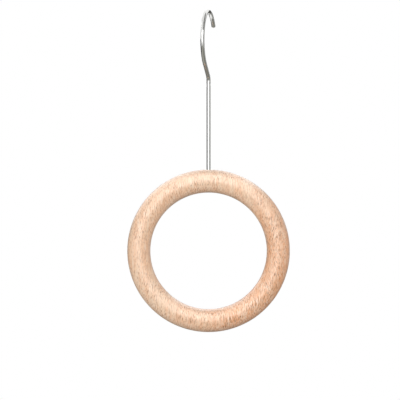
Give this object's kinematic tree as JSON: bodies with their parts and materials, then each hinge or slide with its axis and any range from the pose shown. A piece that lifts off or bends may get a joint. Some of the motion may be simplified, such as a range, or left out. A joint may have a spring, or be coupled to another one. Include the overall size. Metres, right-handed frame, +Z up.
{
  "type": "wooden ring hanger",
  "caption": "Turned wooden ring that swivels on a bent wire hook, for hanging scarves, belts or ties from a clothes rail.",
  "frame": {"origin": "rail seat: the underside of the hook's crest, where it sits on a clothes rail, on the shank's line", "axes": "+Z up along the hook's shank, +Y along the ring's axis away from the viewer, +X to the viewer's right in the ring's plane"},
  "size_m": [0.12, 0.042, 0.2382],
  "materials": {
    "beech": "turned, sanded and lightly oiled, satin",
    "plug_beech": "glued in and turned flush, satin",
    "plated_steel": "bright nickel-chrome plate on drawn wire",
    "zinc_plate": "zinc plated"
  },
  "bodies": {
    "hook": {"wire_hook": "plated_steel", "washer": "zinc_plate", "hex_nut": "zinc_plate"},
    "ring": {"wooden_ring": "beech", "ring_plug": "plug_beech"}
  },
  "joints": [
    {"name": "ring_swivel", "type": "hinge", "parent": "hook", "child": "ring", "pos_m": [0, 0, -0.12], "axis": [0, 0, 1], "continuous": true}
  ]
}
